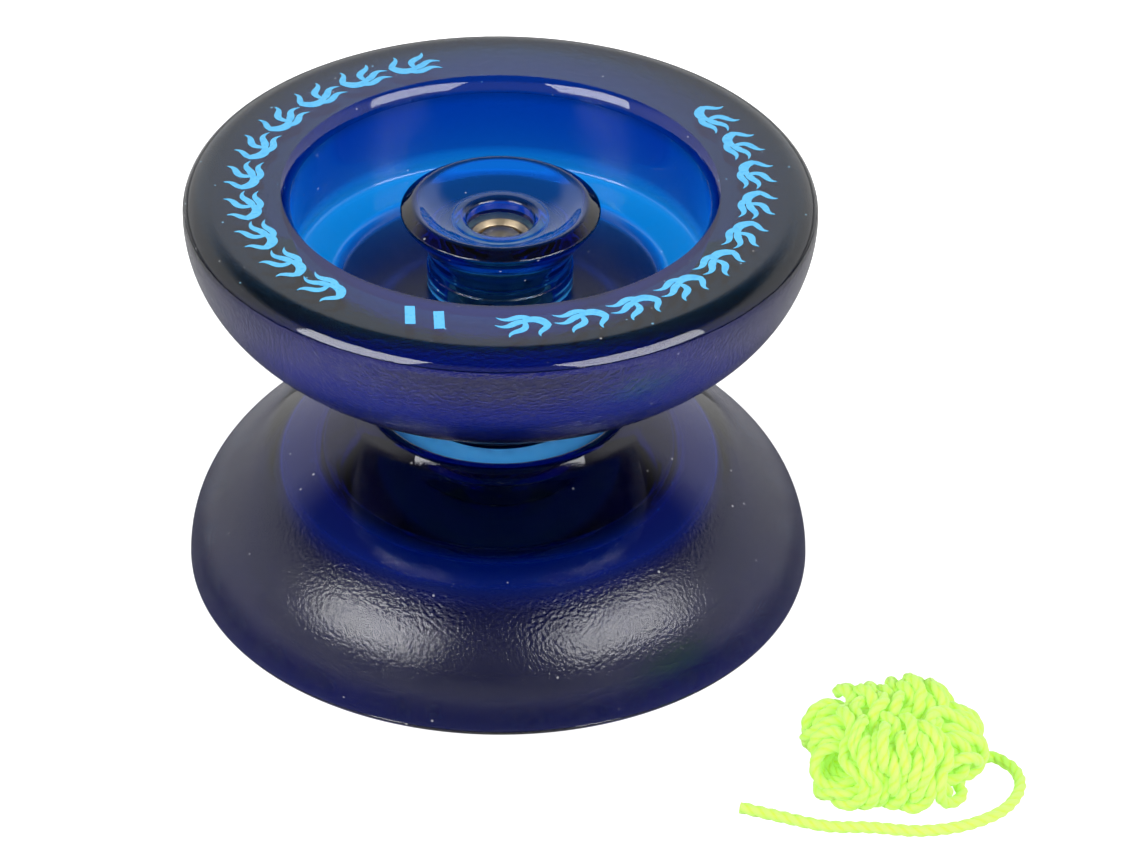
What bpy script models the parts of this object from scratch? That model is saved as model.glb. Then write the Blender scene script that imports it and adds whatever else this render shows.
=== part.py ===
"""A butterfly yo-yo, standing on its lower rim, with its loose string beside it.

Two moulded halves face each other across the string gap. Each half is a body shell, a rim ring, a
response pad, a brass axle nut and a pull-off hub cap. A threaded axle joins the halves and carries a
ball bearing between two flanged spacers.

Units are metres. +Z is the spin axis and the origin is the middle of the lower rim, on the floor.
Every turned outline below is drawn for the upper half, as (radius, height above the string gap's
middle) in millimetres, and the lower half is its mirror image.
"""

import math

import bmesh
import bpy
from mathutils import Matrix, Vector

MM = 0.001

# Driving dimensions, in millimetres.
RIM_RADIUS = 28.0
HALF_WIDTH = 20.1
WIDEST_Z = 18.16
LIP_RADIUS = 12.1
LIP_Z = 1.55
LIP_WIDTH = 0.8
LIP_ROUNDING = (0.5, 0.6)
FLANK_END = (19.8, 6.3)
FLANK_DEG = 29.0
BOWL_TOP_RADIUS = 19.2
BOWL_FLOOR_RADIUS = 18.5
BOWL_FLOOR_Z = 11.1
BOWL_FILLET = 0.4
HUB_FLOOR_RADIUS = 14.2
HUB_CHAMFER = 0.6
HUB_FLOOR_Z = 10.1
FLAT_RIM_RADIUS = 25.6
SEAM_Z = 18.75
RIM_STEP = 0.05
GAP = 0.3

AXLE_RADIUS = 2.0
AXLE_END_Z = 15.05
NUT_RADIUS = 3.9
NUT_FLANGE_RADIUS = 4.7
NUT_BOTTOM_Z = 8.75
NUT_TOP_Z = 15.3

BEARING_BORE = 6.35
BEARING_OUTER = 12.7
BEARING_WIDTH = 4.76
BALLS = 8
BALL_RADIUS = 1.0
RACE_CLEARANCE = 0.06
# A point on each race's groove: its height off the middle, and its rise from the groove's floor.
GROOVE_Z = 0.42
GROOVE_RISE = 0.1
SHIELD_RADIUS = 5.65

PAD_INNER = 7.6
PAD_OUTER = 10.5
PAD_FACE_Z = 2.5
PAD_THICKNESS = 0.8

STRING_DIAMETER = 1.05
FLOOR_CLEARANCE = 0.05
HANK_CENTRE = (35.0, -31.0)
HANK_HALF_SIZE = (8.25, 6.75)
# Each level of the hank's outer shape: its height above the floor and its share of the full outline.
HANK_LEVELS = ((0.05, 0.80), (1.4, 0.96), (3.2, 1.0), (5.2, 0.94), (7.0, 0.76), (8.2, 0.42))
# The tail's route on the floor, from beside the hank to its cut end.
TAIL_ROUTE = (
    (43.95, -29.6),
    (45.6, -31.4),
    (45.9, -34.2),
    (44.3, -37.3),
    (41.0, -39.5),
    (37.0, -40.4),
    (32.8, -40.0),
    (29.0, -39.9),
    (25.2, -38.7),
    (21.6, -37.4),
)

# Facets round each turned piece.
COARSE = 20
MEDIUM = 28
FINE = 44


def clear_scene():
    for old in list(bpy.data.objects):
        bpy.data.objects.remove(old, do_unlink=True)


def make_material(name, colour, roughness, metallic=0.0):
    material = bpy.data.materials.new(name)
    material.use_nodes = True
    shader = material.node_tree.nodes["Principled BSDF"]
    shader.inputs["Base Color"].default_value = (*colour, 1.0)
    shader.inputs["Roughness"].default_value = roughness
    shader.inputs["Metallic"].default_value = metallic
    return material


def arc(centre, radii, start_deg, end_deg, steps):
    """Points on an ellipse from one angle to the other, both ends included."""
    points = []
    for i in range(steps + 1):
        angle = math.radians(start_deg + (end_deg - start_deg) * i / steps)
        points.append((centre[0] + radii[0] * math.cos(angle), centre[1] + radii[1] * math.sin(angle)))
    return points


def bezier(a, b, c, d, steps):
    """Points on a cubic curve from a to d, without a itself."""
    points = []
    for i in range(1, steps + 1):
        t = i / steps
        weights = ((1 - t) ** 3, 3 * t * (1 - t) ** 2, 3 * t * t * (1 - t), t**3)
        points.append(tuple(sum(w * p[k] for w, p in zip(weights, (a, b, c, d))) for k in (0, 1)))
    return points


def in_place(r, z, side):
    """The world point of an outline's (radius, height) in the half that side names."""
    return Vector((r * MM, 0.0, (HALF_WIDTH + side * z) * MM))


def finish_mesh(name, work, material, parent):
    """Makes one object of a bmesh in world metres, with its origin at its parent, on the joint axis."""
    origin = parent.matrix_world.translation
    bmesh.ops.remove_doubles(work, verts=work.verts, dist=1e-6)
    bmesh.ops.recalc_face_normals(work, faces=work.faces)
    bmesh.ops.translate(work, verts=work.verts, vec=-origin)
    mesh = bpy.data.meshes.new(name)
    work.to_mesh(mesh)
    work.free()
    mesh.shade_smooth()
    mesh.set_sharp_from_angle(angle=math.radians(35))
    mesh.materials.append(material)
    piece = bpy.data.objects.new(name, mesh)
    bpy.context.scene.collection.objects.link(piece)
    piece.parent = parent
    return piece


def turned(name, outline, side, facets, material, parent, on_axis=False):
    """One solid of revolution. side is 1 for the upper half and -1 for the lower.

    The outline is a closed loop, or with on_axis an open line that starts and ends on the spin axis.
    """
    work = bmesh.new()
    corners = [work.verts.new(in_place(r, z, side)) for r, z in outline]
    pairs = list(zip(corners, corners[1:]))
    if not on_axis:
        pairs.append((corners[-1], corners[0]))
    edges = [work.edges.new(pair) for pair in pairs]
    bmesh.ops.spin(
        work,
        geom=corners + edges,
        cent=(0.0, 0.0, 0.0),
        axis=(0.0, 0.0, 1.0),
        angle=math.tau,
        steps=facets,
        use_merge=True,
    )
    return finish_mesh(name, work, material, parent)


def joint_empty(name, height, parent=None):
    """A marker on the spin axis, at a height above the floor, that carries the pieces of one body."""
    empty = bpy.data.objects.new(name, None)
    empty.empty_display_size = 5 * MM
    bpy.context.scene.collection.objects.link(empty)
    empty.parent = parent
    below = parent.matrix_world.translation.z if parent else 0.0
    empty.location = (0.0, 0.0, height * MM - below)
    bpy.context.view_layer.update()
    return empty


# --- Outlines of the moulded half -------------------------------------------------------------------


def crown_radii():
    """The quarter ellipse that rounds the rim's outer edge, as its half width and height."""
    return RIM_RADIUS - FLAT_RIM_RADIUS, HALF_WIDTH - WIDEST_Z


def outer_curve():
    """The shell's outside from the flank's end up to its widest point."""
    slope = math.radians(FLANK_DEG)
    lead = 6.75
    rise = 4.25
    end = (RIM_RADIUS, WIDEST_Z)
    first = (FLANK_END[0] + lead * math.cos(slope), FLANK_END[1] + lead * math.sin(slope))
    return bezier(FLANK_END, first, (end[0], end[1] - rise), end, 7)


def body_shell_outline():
    flank_start_r = 13.3
    flank_start_z = FLANK_END[1] - (FLANK_END[0] - flank_start_r) * math.tan(math.radians(FLANK_DEG))
    crown = crown_radii()
    seam_z = SEAM_Z - GAP / 2
    seam_r = FLAT_RIM_RADIUS + crown[0] * math.sqrt(1 - ((seam_z - WIDEST_Z) / crown[1]) ** 2)
    nut_pocket_r = NUT_FLANGE_RADIUS + GAP
    seat_r = 4.3
    seat_z = 4.7
    recess_r = BEARING_OUTER / 2 + 0.4
    axle_hole_r = AXLE_RADIUS + 0.4
    recess_z = 2.9
    collar_z = 2.3
    groove_z = PAD_FACE_Z + PAD_THICKNESS + GAP
    outline = [
        (nut_pocket_r, HUB_FLOOR_Z),
        (HUB_FLOOR_RADIUS, HUB_FLOOR_Z),
        (HUB_FLOOR_RADIUS + HUB_CHAMFER, BOWL_FLOOR_Z),
        (BOWL_FLOOR_RADIUS - BOWL_FILLET, BOWL_FLOOR_Z),
        (BOWL_FLOOR_RADIUS, BOWL_FLOOR_Z + BOWL_FILLET),
        (BOWL_TOP_RADIUS - RIM_STEP, seam_z),
        (seam_r, seam_z),
    ]
    outline += list(reversed(outer_curve()))
    outline += [
        FLANK_END,
        (flank_start_r, flank_start_z),
        (LIP_RADIUS + LIP_ROUNDING[0], LIP_Z + LIP_ROUNDING[1]),
        (LIP_RADIUS, LIP_Z),
        (LIP_RADIUS - LIP_WIDTH, LIP_Z),
        (PAD_OUTER + GAP, LIP_Z + LIP_ROUNDING[0]),
        (PAD_OUTER + GAP, groove_z),
        (PAD_INNER - GAP, groove_z),
        (PAD_INNER - GAP, collar_z),
        (recess_r, collar_z),
        (recess_r, recess_z),
        (seat_r, recess_z),
        (seat_r, seat_z),
        (axle_hole_r, seat_z),
        (axle_hole_r, NUT_BOTTOM_Z - GAP),
        (nut_pocket_r, NUT_BOTTOM_Z - GAP),
    ]
    return outline


def rim_ring_outline():
    crown = crown_radii()
    seam_z = SEAM_Z + GAP / 2
    start = math.degrees(math.asin((seam_z - WIDEST_Z) / crown[1]))
    roll = 0.4
    outline = arc((FLAT_RIM_RADIUS, WIDEST_Z), crown, start, 90, 4)
    outline += arc((BOWL_TOP_RADIUS + roll, HALF_WIDTH - roll), (roll, roll), 90, 180, 2)
    outline.append((BOWL_TOP_RADIUS, seam_z))
    return outline


def hub_cap_outline():
    """A tube that slips over the nut, a cone that flares from it, and a dished face with a hole."""
    foot_z = HUB_FLOOR_Z + GAP
    web_z = NUT_TOP_Z + GAP
    bore_r = NUT_RADIUS + GAP
    mouth_r = bore_r + 0.8
    mouth_z = foot_z + 2.0
    return [
        (mouth_r, foot_z),
        (6.5, foot_z),
        (6.5, 14.3),
        (8.8, 17.5),
        (8.9, 17.9),
        (7.75, 18.6),
        (7.3, 18.5),
        (6.1, 17.6),
        (4.6, 17.05),
        (3.7, 17.1),
        (3.0, 16.8),
        (3.0, web_z),
        (bore_r, web_z),
        (bore_r, mouth_z),
        (mouth_r, mouth_z),
    ]


def response_pad_outline():
    back_z = PAD_FACE_Z + PAD_THICKNESS
    chamfer = 0.15
    return [
        (PAD_INNER, PAD_FACE_Z),
        (PAD_INNER, back_z),
        (PAD_OUTER, back_z),
        (PAD_OUTER, PAD_FACE_Z + chamfer),
        (PAD_OUTER - chamfer, PAD_FACE_Z),
    ]


# --- Outlines of the axle and its metal parts -------------------------------------------------------


def axle_nut_outline():
    thread_r = AXLE_RADIUS + 0.1
    flange_top_z = HUB_FLOOR_Z - 0.1
    chamfer = 0.3
    return [
        (thread_r, NUT_BOTTOM_Z),
        (NUT_FLANGE_RADIUS, NUT_BOTTOM_Z),
        (NUT_FLANGE_RADIUS, flange_top_z),
        (NUT_RADIUS, flange_top_z),
        (NUT_RADIUS, NUT_TOP_Z - chamfer),
        (NUT_RADIUS - chamfer, NUT_TOP_Z),
        (thread_r + chamfer, NUT_TOP_Z),
        (thread_r, NUT_TOP_Z - chamfer),
    ]


def bearing_spacer_outline():
    clearance = 0.2
    bore_r = AXLE_RADIUS + clearance
    post_r = BEARING_BORE / 2 - 0.15
    post_z = 0.2
    flange_r = 4.0
    flange_z = BEARING_WIDTH / 2 + clearance
    back_z = 4.4
    return [
        (bore_r, post_z),
        (post_r - clearance, post_z),
        (post_r, post_z + clearance),
        (post_r, flange_z),
        (flange_r, flange_z),
        (flange_r, back_z),
        (bore_r, back_z),
    ]


def axle_outline():
    """The whole stud, from its lower end's centre to its upper end's, with a centre mark in each end."""
    chamfer = 0.35
    mark_r = 0.5
    mark_depth = 0.4
    upper = [
        (AXLE_RADIUS, AXLE_END_Z - chamfer),
        (AXLE_RADIUS - chamfer, AXLE_END_Z),
        (mark_r, AXLE_END_Z),
        (0.0, AXLE_END_Z - mark_depth),
    ]
    lower = [(r, -z) for r, z in reversed(upper)]
    return lower + upper


def pitch_radius():
    return (BEARING_BORE + BEARING_OUTER) / 4


def inner_race_outline():
    """The groove's ends stand on the shoulder, and its deepest point clears the balls."""
    bore = BEARING_BORE / 2
    half = BEARING_WIDTH / 2
    shoulder = 4.1
    floor_r = pitch_radius() - BALL_RADIUS - RACE_CLEARANCE
    edge_z = 0.78
    low = [(shoulder, -edge_z), (floor_r + GROOVE_RISE, -GROOVE_Z), (floor_r, 0.0)]
    groove = low + [(r, -z) for r, z in reversed(low[:-1])]
    return [(bore, -half), (shoulder, -half)] + groove + [(shoulder, half), (bore, half)]


def outer_race_outline():
    outside = BEARING_OUTER / 2
    half = BEARING_WIDTH / 2
    seat = 5.75
    shoulder = 5.35
    shoulder_z = 1.65
    edge_z = 0.8
    floor_r = pitch_radius() + BALL_RADIUS + RACE_CLEARANCE
    inside = [
        (seat, half),
        (seat, shoulder_z),
        (shoulder, shoulder_z),
        (shoulder, edge_z),
        (floor_r - GROOVE_RISE, GROOVE_Z),
        (floor_r, 0.0),
    ]
    below = [(r, -z) for r, z in reversed(inside[:-1])]
    edge = 0.2
    skin = [(outside - edge, -half), (outside, -half + edge), (outside, half - edge), (outside - edge, half)]
    return skin + inside + below


def rectangle(inner_r, outer_r, low_z, high_z):
    return [(inner_r, low_z), (outer_r, low_z), (outer_r, high_z), (inner_r, high_z)]


def shield_outline():
    return rectangle(4.35, SHIELD_RADIUS, 1.75, 1.92)


# --- Pieces that are not simply turned --------------------------------------------------------------


def make_shield_clip(name, side, material, parent):
    """An open wire ring that holds a shield in: a square section swept round all but a small gap."""
    section = rectangle(5.3, SHIELD_RADIUS, 2.0, 2.25)
    opening = math.radians(28)
    work = bmesh.new()
    corners = [work.verts.new(in_place(r, z, side)) for r, z in section]
    start = work.faces.new(corners)
    bmesh.ops.rotate(work, verts=corners, cent=(0.0, 0.0, 0.0), matrix=Matrix.Rotation(opening / 2, 3, "Z"))
    bmesh.ops.spin(
        work,
        geom=[start] + list(start.edges) + corners,
        cent=(0.0, 0.0, 0.0),
        axis=(0.0, 0.0, 1.0),
        angle=math.tau - opening,
        steps=COARSE,
    )
    return finish_mesh(name, work, material, parent)


def make_ball_cage(material, parent):
    """A crown cage: a ring under the balls, with one tooth standing up between each two balls."""
    inner, outer = 4.4, 5.1
    ring_low, ring_high, tooth_high = -1.6, -1.15, 0.7
    tooth_deg = 11.0
    pitch_deg = 360.0 / BALLS
    work = bmesh.new()
    angles = []
    for i in range(BALLS):
        middle = (i + 0.5) * pitch_deg
        angles += [middle - tooth_deg / 2, middle + tooth_deg / 2]
    rings = []
    for z in (ring_low, ring_high):
        for r in (inner, outer):
            rings.append([work.verts.new(polar(r, angle, z)) for angle in angles])
    low_in, low_out, high_in, high_out = rings
    tops = []
    for i in range(len(angles)):
        j = (i + 1) % len(angles)
        work.faces.new((low_in[i], low_in[j], low_out[j], low_out[i]))
        work.faces.new((low_out[i], low_out[j], high_out[j], high_out[i]))
        work.faces.new((low_in[j], low_in[i], high_in[i], high_in[j]))
        top = work.faces.new((high_out[i], high_out[j], high_in[j], high_in[i]))
        if i % 2 == 0:
            tops.append(top)
    bmesh.ops.recalc_face_normals(work, faces=work.faces)
    for top in tops:
        raised = bmesh.ops.extrude_discrete_faces(work, faces=[top])["faces"][0]
        bmesh.ops.translate(work, verts=raised.verts, vec=(0.0, 0.0, (tooth_high - ring_high) * MM))
    return finish_mesh("bearing_cage", work, material, parent)


def polar(r, degrees, z):
    """The world point at a radius, an angle round the axis and a height from the gap's middle."""
    angle = math.radians(degrees)
    return Vector((r * math.cos(angle), r * math.sin(angle), HALF_WIDTH + z)) * MM


def make_ball(number, material, parent):
    work = bmesh.new()
    bmesh.ops.create_uvsphere(work, u_segments=10, v_segments=6, radius=BALL_RADIUS * MM)
    centre = polar(pitch_radius(), (number - 1) * 360.0 / BALLS, 0.0)
    bmesh.ops.translate(work, verts=work.verts, vec=centre)
    return finish_mesh(f"bearing_ball_{number}", work, material, parent)


# --- The loose string -------------------------------------------------------------------------------


def make_string_hank(material, parent):
    """The outer shape of the folded string: rounded outlines stacked like a loaf."""
    facets = 24
    squareness = 2.5
    work = bmesh.new()
    levels = []
    for height, share in HANK_LEVELS:
        ring = []
        for i in range(facets):
            angle = math.tau * i / facets
            spread = []
            for half, wave in zip(HANK_HALF_SIZE, (math.cos(angle), math.sin(angle))):
                spread.append(half * share * math.copysign(abs(wave) ** (2 / squareness), wave))
            point = Vector((HANK_CENTRE[0] + spread[0], HANK_CENTRE[1] + spread[1], height)) * MM
            ring.append(work.verts.new(point))
        levels.append(ring)
    for lower, upper in zip(levels, levels[1:]):
        for i in range(facets):
            j = (i + 1) % facets
            work.faces.new((lower[i], lower[j], upper[j], upper[i]))
    work.faces.new(list(reversed(levels[0])))
    work.faces.new(levels[-1])
    return finish_mesh("string_hank", work, material, parent)


def smooth_route(route, steps):
    """Points on a smooth curve through the route (Catmull-Rom), with its ends carried straight on."""
    points = [Vector(p) for p in route]
    points = [2 * points[0] - points[1]] + points + [2 * points[-1] - points[-2]]
    curve = [points[1]]
    for a, b, c, d in zip(points, points[1:], points[2:], points[3:]):
        for i in range(1, steps + 1):
            t = i / steps
            bend = (c - a) * t + (2 * a - 5 * b + 4 * c - d) * t * t + (3 * b - a - 3 * c + d) * t**3
            curve.append(b + bend / 2)
    return curve


def make_string_tail(material, parent):
    """The stretch of string that is not in the hank, as one round tube lying on the floor."""
    height = FLOOR_CLEARANCE + STRING_DIAMETER / 2
    data = bpy.data.curves.new("string_tail", "CURVE")
    data.dimensions = "3D"
    data.bevel_depth = STRING_DIAMETER / 2 * MM
    data.bevel_resolution = 2
    data.use_fill_caps = True
    path = smooth_route(TAIL_ROUTE, 2)
    spline = data.splines.new("POLY")
    spline.points.add(len(path) - 1)
    origin = parent.matrix_world.translation
    for point, place in zip(spline.points, path):
        x, y, z = Vector((place.x, place.y, height)) * MM - origin
        point.co = (x, y, z, 1.0)
    data.materials.append(material)
    tail = bpy.data.objects.new("string_tail", data)
    bpy.context.scene.collection.objects.link(tail)
    tail.parent = parent
    return tail


# --- Assembly ---------------------------------------------------------------------------------------


def make_half(side, label, paint, body, cap_body, spacer_body):
    """Every piece of one half but the cap rides on body; side is 1 for the upper half."""
    turned(f"{label}_body_shell", body_shell_outline(), side, FINE, paint["shell"], body)
    turned(f"{label}_rim_ring", rim_ring_outline(), side, FINE, paint["rim"], body)
    turned(f"{label}_response_pad", response_pad_outline(), side, MEDIUM, paint["pad"], body)
    turned(f"{label}_axle_nut", axle_nut_outline(), side, COARSE, paint["brass"], body)
    turned(f"{label}_bearing_spacer", bearing_spacer_outline(), side, COARSE, paint["spacer"], spacer_body)
    turned(f"{label}_hub_cap", hub_cap_outline(), side, MEDIUM, paint["cap"], cap_body)


def make_bearing(paint, lower_half):
    turned("bearing_inner_race", inner_race_outline(), 1, MEDIUM, paint["steel"], lower_half)
    outer = joint_empty("bearing_outer_axis", HALF_WIDTH, lower_half)
    turned("bearing_outer_race", outer_race_outline(), 1, MEDIUM, paint["steel"], outer)
    for side, label in ((1, "upper"), (-1, "lower")):
        turned(f"{label}_bearing_shield", shield_outline(), side, MEDIUM, paint["shield"], outer)
        make_shield_clip(f"{label}_shield_clip", side, paint["steel"], outer)
    cage = joint_empty("bearing_cage_axis", HALF_WIDTH, lower_half)
    make_ball_cage(paint["cage"], cage)
    for number in range(1, BALLS + 1):
        make_ball(number, paint["steel"], cage)


def main():
    clear_scene()
    paint = {
        "shell": make_material("navy_textured_plastic", (0.016, 0.025, 0.12), 0.34),
        "rim": make_material("navy_gloss_plastic", (0.012, 0.016, 0.07), 0.12),
        "cap": make_material("blue_clear_plastic", (0.02, 0.08, 0.4), 0.1),
        "pad": make_material("pad_silicone", (0.05, 0.32, 0.62), 0.55),
        "brass": make_material("brass", (0.74, 0.6, 0.36), 0.28, 1.0),
        "spacer": make_material("spacer_aluminium", (0.72, 0.73, 0.75), 0.3, 1.0),
        "steel": make_material("bright_steel", (0.62, 0.62, 0.63), 0.2, 1.0),
        "shield": make_material("shield_steel", (0.5, 0.5, 0.52), 0.35, 1.0),
        "cage": make_material("cage_nylon", (0.75, 0.7, 0.58), 0.5),
        "string": make_material("neon_string", (0.66, 1.0, 0.06), 0.8),
    }
    lower_half = joint_empty("lower_half_axis", 0.0)
    lower_cap = joint_empty("lower_cap_axis", HALF_WIDTH - HUB_FLOOR_Z, lower_half)
    upper_spacer = joint_empty("upper_spacer_axis", HALF_WIDTH, lower_half)
    upper_half = joint_empty("upper_half_axis", HALF_WIDTH, upper_spacer)
    upper_cap = joint_empty("upper_cap_axis", HALF_WIDTH + HUB_FLOOR_Z, upper_half)
    make_half(-1, "lower", paint, lower_half, lower_cap, lower_half)
    make_half(1, "upper", paint, upper_half, upper_cap, upper_spacer)
    turned("axle", axle_outline(), 1, COARSE, paint["steel"], lower_half, on_axis=True)
    make_bearing(paint, lower_half)
    make_string_hank(paint["string"], lower_half)
    make_string_tail(paint["string"], lower_half)


main()
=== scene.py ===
"""A translucent butterfly yo-yo: clear mouldings, printed rims, pads, bearing, threaded axle and string.

The yo-yo's axis is +Z and its lower rim stands on the floor at the origin. A turned piece is an outline
of (radius, height above the string gap's middle) in millimetres, carried round the axis; the lower half
mirrors the upper one. Each operator builds one group of pieces on the CAD frame, and main calls them.
"""

import math
from types import SimpleNamespace

import bpy
import numpy as np
from bpy.props import FloatProperty, FloatVectorProperty, IntProperty, PointerProperty
from mathutils import Matrix, Vector


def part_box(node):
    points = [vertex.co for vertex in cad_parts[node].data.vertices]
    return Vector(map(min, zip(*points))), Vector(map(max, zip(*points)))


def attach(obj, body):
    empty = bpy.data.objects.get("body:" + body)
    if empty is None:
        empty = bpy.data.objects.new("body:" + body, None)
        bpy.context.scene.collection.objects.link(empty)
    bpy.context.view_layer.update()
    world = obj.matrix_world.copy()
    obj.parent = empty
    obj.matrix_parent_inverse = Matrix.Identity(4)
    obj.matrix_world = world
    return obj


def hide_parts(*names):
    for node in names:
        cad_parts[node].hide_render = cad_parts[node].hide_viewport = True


bl_info = {
    "name": "Yo-yo pieces",
    "version": (1, 0, 0),
    "blender": (4, 5, 0),
    "location": "View3D > Sidebar > Yo-yo",
    "description": "Builds the mouldings, metal parts and string of a butterfly yo-yo on its CAD frame",
    "category": "Add Mesh",
}

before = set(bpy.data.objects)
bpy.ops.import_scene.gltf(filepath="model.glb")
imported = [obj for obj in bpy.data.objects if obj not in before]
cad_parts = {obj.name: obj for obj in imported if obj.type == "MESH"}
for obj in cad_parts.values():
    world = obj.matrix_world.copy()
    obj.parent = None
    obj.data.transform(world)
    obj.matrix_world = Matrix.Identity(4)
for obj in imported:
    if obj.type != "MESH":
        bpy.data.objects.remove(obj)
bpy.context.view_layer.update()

MM = 0.001
MIDDLE_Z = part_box("upper_rim_ring")[1].z / 2 / MM
RIM_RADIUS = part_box("upper_body_shell")[1].x / MM
HALVES = {"upper": 1.0, "lower": -1.0}
# Clear pieces that touch sink this far into each other, so that no film of air shows between them.
SINK = 0.02
# The bowl's mouth is broken by a chamfer this wide.
MOUTH_CHAMFER = 0.11
# The rim band's lower edge is broken by a chamfer this wide, which leaves a fine groove at the seam.
SEAM_GROOVE = 0.12


# --- Settings ---


def kind(make, scale=1.0, **fixed):
    """A maker of one kind of setting. The value it is given, times scale, is the default."""

    def setting(name, description, value):
        return make(name=name, description=description, default=value * scale, **fixed)

    return setting


# Lengths are given in millimetres and angles in degrees.
length = kind(FloatProperty, MM, precision=5, subtype="DISTANCE", unit="LENGTH")
angle = kind(FloatProperty, math.pi / 180.0, subtype="ANGLE", unit="ROTATION")
colour = kind(FloatVectorProperty, 1, size=3, min=0.0, max=1.0, subtype="COLOR")
fraction = kind(FloatProperty, min=0.0, max=1.0, subtype="FACTOR")
count = kind(IntProperty, 1, min=3)
amount = kind(FloatProperty, min=0.0)
focal = kind(FloatProperty, unit="CAMERA")
watts = kind(FloatProperty, unit="POWER")


class YOYO_PG_moulding(bpy.types.PropertyGroup):
    """Sizes of one moulded half; heights are above the string gap's middle."""

    widest_z: length("Widest height", "Height of the rim's widest line", 18.16)
    flat_rim: length("Flat rim", "Outer radius of the rim's flat face", 25.6)
    bowl_mouth: length("Bowl mouth", "Radius of the bowl's mouth", 19.25)
    shoulder: length("Shoulder", "Radius of the rounded shoulder inside the mouth", 2.4)
    bowl_floor: length("Bowl floor", "Radius of the bowl's floor", 18.5)
    bowl_floor_z: length("Bowl floor height", "Height of the bowl's floor", 11.1)
    hub_floor: length("Hub floor", "Radius of the sunk hub floor", 14.2)
    hub_floor_z: length("Hub floor height", "Height of the sunk hub floor", 10.1)
    seam_z: length("Seam height", "Height of the seam under the rim band", 18.75)
    flank_end: length("Flank radius", "Radius where the straight flank ends", 19.8)
    flank_end_z: length("Flank height", "Height where the straight flank ends", 6.3)
    flank_slope: angle("Flank slope", "Slope of the straight flank", 29.0)
    lip: length("Lip", "Radius of the lip at the string gap", 12.1)
    lip_z: length("Lip height", "Height of the lip", 1.55)
    facets: count("Facets", "Facets round each moulding", 192)


class YOYO_PG_plastic(bpy.types.PropertyGroup):
    """How the clear blue plastic takes up light."""

    absorbed: colour("Colour", "Colour that white light turns to inside the plastic", (0.10, 0.64, 0.87))
    density: amount("Density", "Strength of the colour, per metre", 1000.0)
    polish: fraction("Polish", "Roughness of the polished faces", 0.035)
    texture: fraction("Texture", "Roughness of the textured outside", 0.19)


class YOYO_PG_print(bpy.types.PropertyGroup):
    """The flame tongues printed round the rim's flat face."""

    radius: length("Radius", "Radius of the prints' middle", 22.3)
    thickness: length("Thickness", "Thickness of the ink", 0.03)
    pitch: angle("Pitch", "Angle from one print to the next", 13.0)
    left_start: angle("Left start", "Angle of the left row's first print", 111.5)
    right_start: angle("Right start", "Angle of the right row's first print", 33.0)
    each_side: count("Prints", "Prints in each row", 10)
    ink: colour("Ink", "Colour of the ink", (0.10, 0.50, 0.86))


class YOYO_PG_metal(bpy.types.PropertyGroup):
    """Sizes of the axle, its nuts and the bearing spacers."""

    axle: length("Axle radius", "Outer radius of the axle's thread", 2.0)
    axle_end: length("Axle end", "Height of the axle's end", 15.05)
    pitch: length("Thread pitch", "Rise of the thread in one turn", 0.7)
    depth: length("Thread depth", "Depth of the thread", 0.36)
    nut: length("Nut radius", "Radius of the nut's barrel", 3.9)
    nut_flange: length("Nut flange", "Radius of the nut's flange", 4.7)
    nut_bottom: length("Nut bottom", "Height of the nut's flange", 8.75)
    nut_top: length("Nut top", "Height of the nut's end face", 15.3)


class YOYO_PG_bearing(bpy.types.PropertyGroup):
    """Sizes of the ball bearing."""

    bore: length("Bore", "Radius of the inner race's bore", 3.175)
    outside: length("Outside", "Radius of the outer race", 6.35)
    half: length("Half width", "Half the width of the races", 2.38)
    ball: length("Ball radius", "Radius of a ball", 1.0)
    play: length("Play", "Clearance between a ball and its groove", 0.05)
    balls: count("Balls", "Number of balls", 8)


class YOYO_PG_string(bpy.types.PropertyGroup):
    """The loose string."""

    length: length("Length", "Length of the whole string", 900.0)
    diameter: length("Diameter", "Thickness of the string", 1.05)
    lay: length("Lay", "Length in which a ply goes once round the string", 3.4)
    plies: count("Plies", "Number of plies twisted together", 3)
    dye: colour("Dye", "Colour of the dyed yarn", (0.37, 0.70, 0.09))


class YOYO_PG_stage(bpy.types.PropertyGroup):
    """The camera and the studio light."""

    lens: focal("Lens", "Focal length in millimetres", 203.7)
    distance: length("Distance", "From the yo-yo's middle to the camera", 578.3)
    elevation: angle("Elevation", "How far the camera looks down", 33.64)
    roll: angle("Roll", "Turn of the camera about its view", -0.78)
    side_shift: length("Side shift", "How far the yo-yo's middle stands right of the frame's", -6.32)
    rise: length("Rise", "How far the yo-yo's middle stands above the frame's", 4.40)
    softbox: length("Softbox distance", "From the yo-yo's middle to each softbox", 420.0)
    power: watts("Softbox power", "Power of each softbox", 1.75)


GROUPS = {
    "moulding": YOYO_PG_moulding,
    "plastic": YOYO_PG_plastic,
    "print": YOYO_PG_print,
    "metal": YOYO_PG_metal,
    "bearing": YOYO_PG_bearing,
    "string": YOYO_PG_string,
    "stage": YOYO_PG_stage,
}


class YOYO_PG_settings(bpy.types.PropertyGroup):
    """Every group of sizes and colours."""

    __annotations__ = {name: PointerProperty(type=group) for name, group in GROUPS.items()}


def settings(name):
    """The group's values as plain attributes, with its lengths in millimetres."""
    group = getattr(bpy.context.scene.yoyo, name)
    values = {}
    for key in GROUPS[name].__annotations__:
        value = getattr(group, key)
        values[key] = value / MM if group.bl_rna.properties[key].unit == "LENGTH" else value
    return SimpleNamespace(**values)


# --- Mesh tools ---


def new_object(name, data):
    piece = bpy.data.objects.new(name, data)
    bpy.context.scene.collection.objects.link(piece)
    return piece


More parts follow.
